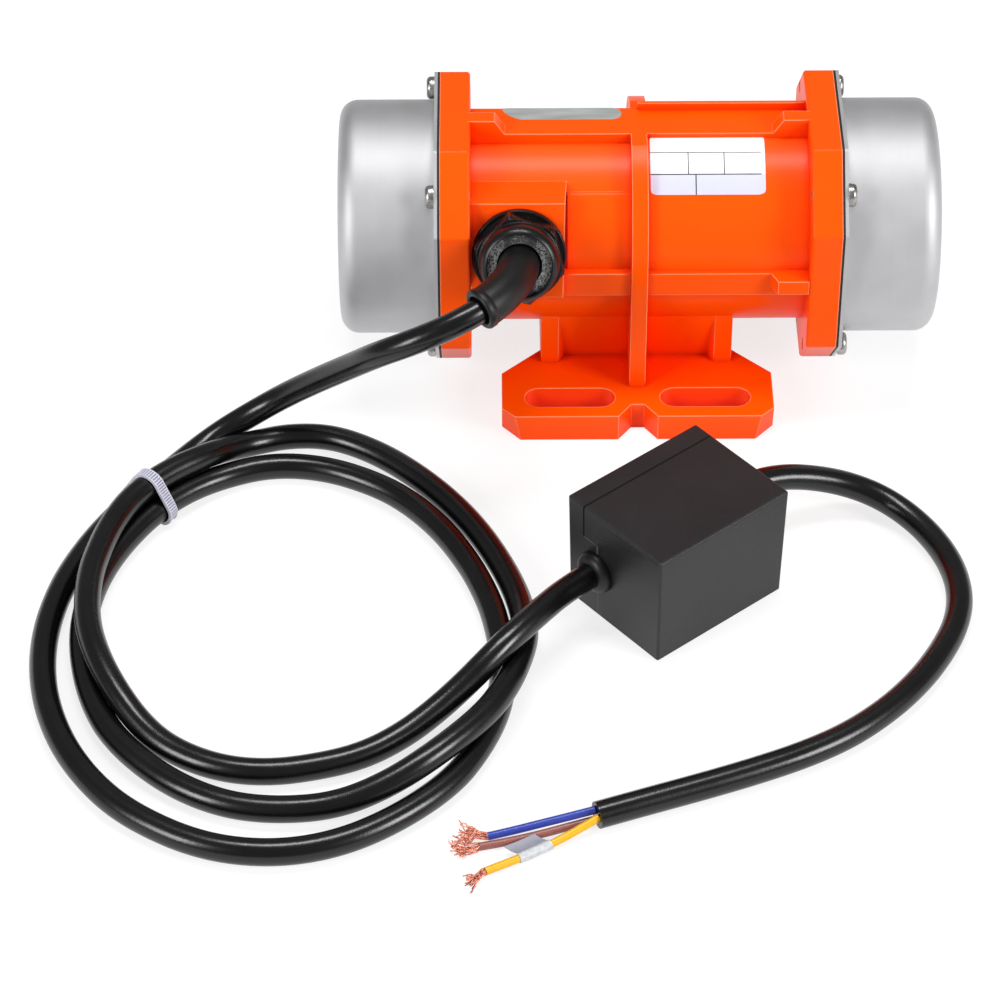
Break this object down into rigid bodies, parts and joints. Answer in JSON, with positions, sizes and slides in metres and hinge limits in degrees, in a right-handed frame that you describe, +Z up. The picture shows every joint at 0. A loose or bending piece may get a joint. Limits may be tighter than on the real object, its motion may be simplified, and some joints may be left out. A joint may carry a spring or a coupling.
{
  "type": "vibration motor",
  "caption": "Foot-mounted vibration motor: cast body, steel end covers over eccentric weights, cable gland, coiled lead, capacitor box and bare-ended tail lead.",
  "frame": {"origin": "centre of the four foot slots, on the mounting face under the foot", "axes": "+X along the shaft to the right of the cable gland, +Y away from the gland side, +Z up from the mounting face"},
  "size_m": [0.2703, 0.2871, 0.0864],
  "materials": {
    "housing_paint": "glossy orange powder coat on a die-cast aluminium body",
    "cast_alloy": "as-cast aluminium",
    "cover_steel": "satin drawn stainless steel",
    "screw_steel": "bright stainless steel",
    "bearing_steel": "ground bearing steel",
    "shaft_steel": "turned steel",
    "lamination": "stacked electrical steel",
    "weight_iron": "bare cast iron",
    "winding_copper": "varnished copper wire",
    "strand_copper": "bare copper strands",
    "gasket_rubber": "black rubber sheet",
    "gland_plastic": "black moulded nylon",
    "seal_rubber": "black rubber",
    "sleeve_rubber": "black rubber sleeve",
    "cable_jacket": "satin black cable jacket",
    "tie_nylon": "white nylon",
    "box_plastic": "satin dark grey plastic",
    "capacitor_can": "plastic film capacitor case",
    "core_blue": "blue insulation",
    "core_brown": "brown insulation",
    "core_yellow": "yellow insulation",
    "tag_white": "blank pale wire tag"
  },
  "bodies": {
    "motor": {"housing": "housing_paint", "end_shield_left": "cast_alloy", "end_shield_right": "cast_alloy", "cover_left": "cover_steel", "cover_right": "cover_steel", "gasket_left": "gasket_rubber", "gasket_right": "gasket_rubber", "cover_screws_left": "screw_steel", "cover_screws_right": "screw_steel", "bearing_outer_left": "bearing_steel", "bearing_outer_right": "bearing_steel", "stator_core": "lamination", "stator_windings": "winding_copper", "gland_body": "gland_plastic", "gland_nut": "gland_plastic", "gland_seal": "seal_rubber", "cable_sleeve": "sleeve_rubber", "motor_lead": "cable_jacket", "cord_coil": "cable_jacket", "cable_tie": "tie_nylon", "box_lead": "cable_jacket", "box_body": "box_plastic", "box_cover": "box_plastic", "capacitor": "capacitor_can", "grommet_in": "seal_rubber", "grommet_out": "seal_rubber", "tail_lead": "cable_jacket", "core_blue": "core_blue", "core_brown": "core_brown", "core_yellow": "core_yellow", "core_strands": "strand_copper", "core_tag": "tag_white"},
    "rotor": {"shaft": "shaft_steel", "rotor_core": "lamination", "rotor_cage": "cast_alloy", "bearing_inner_left": "bearing_steel", "bearing_inner_right": "bearing_steel", "fixed_weight_left": "weight_iron", "fixed_weight_right": "weight_iron", "weight_key_left": "shaft_steel", "weight_key_right": "shaft_steel", "circlip_left": "bearing_steel", "circlip_right": "bearing_steel"},
    "cage_left": {"bearing_balls_left": "bearing_steel"},
    "cage_right": {"bearing_balls_right": "bearing_steel"},
    "weight_left": {"adjustable_weight_left": "weight_iron", "clamp_bolt_left": "screw_steel"},
    "weight_right": {"adjustable_weight_right": "weight_iron", "clamp_bolt_right": "screw_steel"}
  },
  "joints": [
    {"name": "rotor_spin", "type": "hinge", "parent": "motor", "child": "rotor", "pos_m": [0, 0, 0.04705], "axis": [1, 0, 0], "continuous": true},
    {"name": "cage_left_spin", "type": "hinge", "parent": "motor", "child": "cage_left", "pos_m": [-0.054, 0, 0.04705], "axis": [1, 0, 0], "continuous": true},
    {"name": "cage_right_spin", "type": "hinge", "parent": "motor", "child": "cage_right", "pos_m": [0.054, 0, 0.04705], "axis": [1, 0, 0], "continuous": true},
    {"name": "weight_left_set", "type": "hinge", "parent": "rotor", "child": "weight_left", "pos_m": [-0.07565, 0, 0.04705], "axis": [1, 0, 0], "range_deg": [0, 180]},
    {"name": "weight_right_set", "type": "hinge", "parent": "rotor", "child": "weight_right", "pos_m": [0.07565, 0, 0.04705], "axis": [1, 0, 0], "range_deg": [0, 180]}
  ],
  "couplings": [
    {"joint": "cage_left_spin", "follows": "rotor_spin", "ratio": 0.3875},
    {"joint": "cage_right_spin", "follows": "rotor_spin", "ratio": 0.3875}
  ]
}
